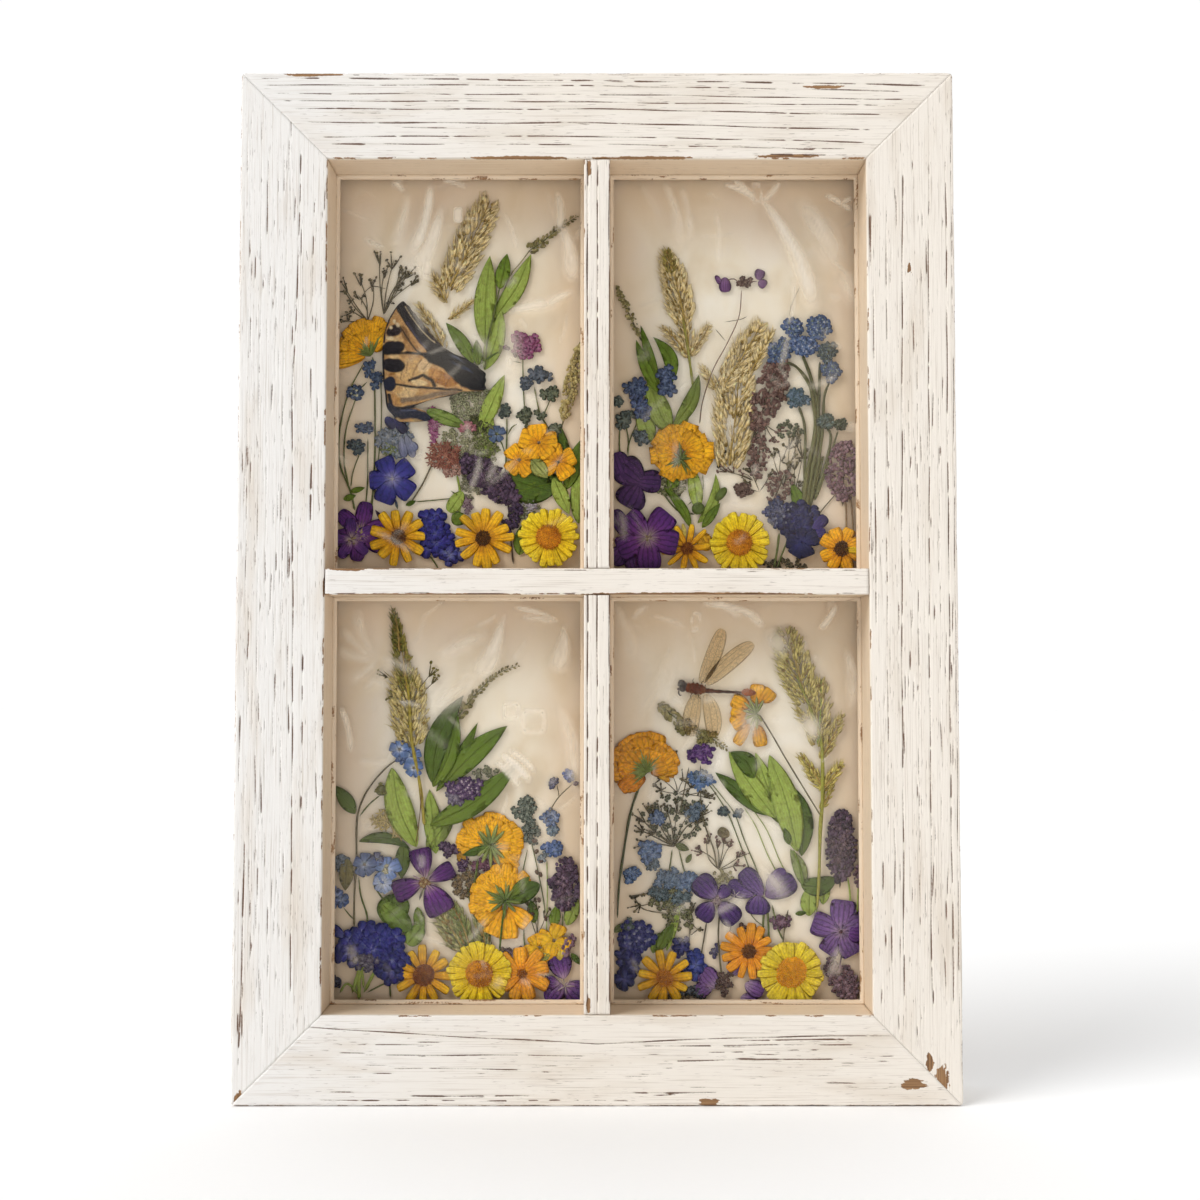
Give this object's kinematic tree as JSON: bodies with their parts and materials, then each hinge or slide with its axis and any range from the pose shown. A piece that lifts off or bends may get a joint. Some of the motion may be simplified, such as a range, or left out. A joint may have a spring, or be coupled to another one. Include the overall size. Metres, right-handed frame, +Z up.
{
  "type": "pressed flower frame",
  "caption": "Free-standing whitewashed wooden window-style frame whose panes hold dried pressed flowers, a butterfly and a dragonfly between clear film and a cream board.",
  "frame": {"origin": "middle of the footprint, on the base", "axes": "+Z up along the height, +X to the viewer's right, the film and flowers face -Y"},
  "size_m": [0.305, 0.038, 0.437],
  "materials": {
    "whitewashed_wood": "matt distressed whitewash over brown wood",
    "clear_film": "glossy crinkled clear film",
    "pearly_board": "pearly cream satin",
    "butterfly_wing": "dry scaled wing, cream yellow with black veins",
    "dragonfly_body": "dry brown shell with clear veined wings",
    "dried_grass": "dry straw tufts",
    "dried_leaf": "dry matt leaf",
    "yellow_petals": "dry matt petals",
    "gold_petals": "dry matt petals",
    "orange_petals": "dry matt petals",
    "violet_petals": "dry matt petals",
    "indigo_petals": "dry matt petals",
    "blue_petals": "dry matt petals"
  },
  "bodies": {
    "root": {"backing_board": "pearly_board", "film_lower_left": "clear_film", "film_lower_right": "clear_film", "film_upper_left": "clear_film", "film_upper_right": "clear_film", "lower_left_coreopsis": "gold_petals", "lower_left_delphinium": "blue_petals", "lower_left_geranium": "violet_petals", "lower_left_leaf_broad": "dried_leaf", "lower_left_leaf_dark": "dried_leaf", "lower_left_leaf_low": "dried_leaf", "lower_left_lemon_daisy": "yellow_petals", "lower_left_marigold_lower": "orange_petals", "lower_left_marigold_upper": "orange_petals", "lower_left_orange_coreopsis": "orange_petals", "lower_left_plume": "dried_grass", "lower_left_violet": "violet_petals", "lower_right_coreopsis": "gold_petals", "lower_right_dragonfly": "dragonfly_body", "lower_right_indigo": "indigo_petals", "lower_right_leaf_pale": "dried_leaf", "lower_right_lemon_daisy": "yellow_petals", "lower_right_marigold": "orange_petals", "lower_right_orange_bloom": "orange_petals", "lower_right_orange_coreopsis": "orange_petals", "lower_right_plume": "dried_grass", "lower_right_violet_left": "violet_petals", "lower_right_violet_middle": "violet_petals", "lower_right_violet_right": "violet_petals", "muntin_horizontal": "whitewashed_wood", "muntin_lower": "whitewashed_wood", "muntin_upper": "whitewashed_wood", "rail_bottom": "whitewashed_wood", "rail_top": "whitewashed_wood", "stile_left": "whitewashed_wood", "stile_right": "whitewashed_wood", "upper_left_blue_flower": "blue_petals", "upper_left_butterfly": "butterfly_wing", "upper_left_coreopsis": "gold_petals", "upper_left_gold_daisy": "gold_petals", "upper_left_indigo": "indigo_petals", "upper_left_leaf_pale": "dried_leaf", "upper_left_leaf_slim": "dried_leaf", "upper_left_lemon_daisy": "yellow_petals", "upper_left_marigold": "orange_petals", "upper_left_orange_bloom": "orange_petals", "upper_left_plume": "dried_grass", "upper_left_violet": "violet_petals", "upper_right_coreopsis": "gold_petals", "upper_right_heliotrope": "blue_petals", "upper_right_lemon_daisy": "yellow_petals", "upper_right_marigold": "orange_petals", "upper_right_navy_flower": "indigo_petals", "upper_right_plume_gold": "dried_grass", "upper_right_plume_pale": "dried_grass", "upper_right_small_orange": "orange_petals", "upper_right_violet_lower": "violet_petals", "upper_right_violet_upper": "violet_petals"}
  },
  "joints": []
}
